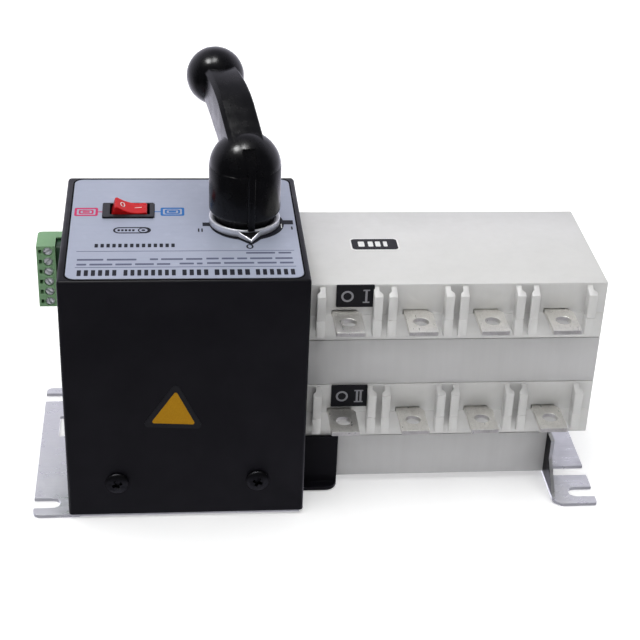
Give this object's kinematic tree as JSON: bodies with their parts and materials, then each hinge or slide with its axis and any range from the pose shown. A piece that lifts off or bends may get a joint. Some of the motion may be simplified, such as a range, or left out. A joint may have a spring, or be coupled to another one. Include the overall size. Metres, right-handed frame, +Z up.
{
  "type": "manual transfer switch",
  "caption": "Changeover switch with stacked contact units, drilled terminal tabs, a black mechanism cover, a pull-off ball-knob hand lever, a rocker switch and slotted feet.",
  "frame": {"origin": "middle of the overall outline in the mounting plane, under the feet", "axes": "+X along the row of poles, away from the mechanism; +Y towards the load side; +Z up from the mounting plane"},
  "size_m": [0.2456, 0.1127, 0.1743],
  "materials": {
    "zinc_plated_steel": "zinc-plated sheet, satin",
    "black_paint": "satin black powder coat",
    "black_screw": "black oxide, semi-gloss",
    "label_film": "printed polyester film, silver-lavender",
    "black_plastic": "moulded black, semi-gloss",
    "handle_plastic": "glossy black phenolic",
    "red_plastic": "moulded red, glossy",
    "machined_steel": "machined steel",
    "gear_brass": "machined brass",
    "bright_plate": "bright nickel plate",
    "board_laminate": "green circuit board",
    "dark_green_plastic": "moulded dark green",
    "green_plastic": "moulded green, matt",
    "cream_plastic": "moulded off-white, fine matt",
    "grey_plastic": "moulded light grey, fine matt",
    "tinned_copper": "tin-plated copper, matt",
    "copper": "bare copper"
  },
  "bodies": {
    "enclosure": {"base_plate": "zinc_plated_steel", "right_mounting_bracket": "zinc_plated_steel", "coupling_bracket": "black_paint", "mechanism_cover": "black_paint", "cover_label": "label_film", "cover_screw_front_left": "black_screw", "cover_screw_front_right": "black_screw", "cover_screw_rear_left": "black_screw", "cover_screw_rear_right": "black_screw", "rocker_housing": "black_plastic", "mechanism_deck": "machined_steel", "gear_motor": "machined_steel", "spindle_bush_upper": "gear_brass", "spindle_bush_lower": "gear_brass", "limit_switch_source_1": "black_plastic", "limit_switch_source_2": "black_plastic", "slide_guide": "machined_steel", "control_board": "board_laminate", "terminal_header": "dark_green_plastic", "motor_capacitor": "black_plastic", "upper_unit_lid": "cream_plastic", "upper_unit_tray": "cream_plastic", "upper_unit_base": "grey_plastic", "lower_unit_lid": "cream_plastic", "lower_unit_tray": "cream_plastic", "lower_unit_base": "grey_plastic", "upper_source_terminal_1": "tinned_copper", "upper_source_terminal_2": "tinned_copper", "upper_source_terminal_3": "tinned_copper", "upper_source_terminal_4": "tinned_copper", "lower_source_terminal_1": "tinned_copper", "lower_source_terminal_2": "tinned_copper", "lower_source_terminal_3": "tinned_copper", "lower_source_terminal_4": "tinned_copper", "load_bar_1": "tinned_copper", "load_bar_2": "tinned_copper", "load_bar_3": "tinned_copper", "load_bar_4": "tinned_copper"},
    "spindle_assembly": {"spindle": "machined_steel", "spindle_crank": "machined_steel", "drive_gear": "gear_brass", "position_indicator": "bright_plate"},
    "hand_lever": {"handle_socket": "handle_plastic", "handle_lever": "handle_plastic", "handle_knob": "handle_plastic"},
    "rocker": {"rocker_button": "red_plastic"},
    "motor_output": {"motor_gear": "gear_brass"},
    "slide": {"transfer_slide": "machined_steel"},
    "upper_contacts": {"upper_contact_shaft": "black_plastic", "upper_contact_blade_1": "copper", "upper_contact_blade_2": "copper", "upper_contact_blade_3": "copper", "upper_contact_blade_4": "copper"},
    "lower_contacts": {"lower_contact_shaft": "black_plastic", "lower_contact_blade_1": "copper", "lower_contact_blade_2": "copper", "lower_contact_blade_3": "copper", "lower_contact_blade_4": "copper"},
    "plug": {"terminal_plug": "green_plastic"}
  },
  "joints": [
    {"name": "spindle_turn", "type": "hinge", "parent": "enclosure", "child": "spindle_assembly", "pos_m": [-0.0319, -0.0034, 0.1], "axis": [0, 0, 1], "range_deg": [-90, 90]},
    {"name": "lever_pull_off", "type": "slide", "parent": "spindle_assembly", "child": "hand_lever", "axis": [0, 0, 1], "range_m": [0, 0.03]},
    {"name": "rocker_tilt", "type": "hinge", "parent": "enclosure", "child": "rocker", "pos_m": [-0.0803, 0.0084, 0.113], "axis": [0, 1, 0], "range_deg": [-24, 0]},
    {"name": "motor_turn", "type": "hinge", "parent": "enclosure", "child": "motor_output", "pos_m": [-0.0649, -0.0034, 0.09], "axis": [0, 0, 1], "range_deg": [-109, 109]},
    {"name": "slide_shift", "type": "slide", "parent": "enclosure", "child": "slide", "axis": [0, 1, 0], "range_m": [-0.0071, 0.0071]},
    {"name": "upper_contacts_turn", "type": "hinge", "parent": "enclosure", "child": "upper_contacts", "pos_m": [0.05, 0.0032, 0.0838], "axis": [1, 0, 0], "range_deg": [-30.2, 30.2]},
    {"name": "lower_contacts_turn", "type": "hinge", "parent": "enclosure", "child": "lower_contacts", "pos_m": [0.05, 0.0032, 0.0355], "axis": [1, 0, 0], "range_deg": [-30.2, 30.2]},
    {"name": "plug_pull_off", "type": "slide", "parent": "enclosure", "child": "plug", "axis": [-1, 0, 0], "range_m": [0, 0.01]}
  ],
  "couplings": [
    {"joint": "motor_turn", "follows": "spindle_turn", "ratio": -1.2},
    {"joint": "slide_shift", "follows": "spindle_turn", "m_per_rad": -0.0044563},
    {"joint": "upper_contacts_turn", "follows": "spindle_turn", "ratio": -0.33333},
    {"joint": "lower_contacts_turn", "follows": "spindle_turn", "ratio": 0.33333}
  ]
}
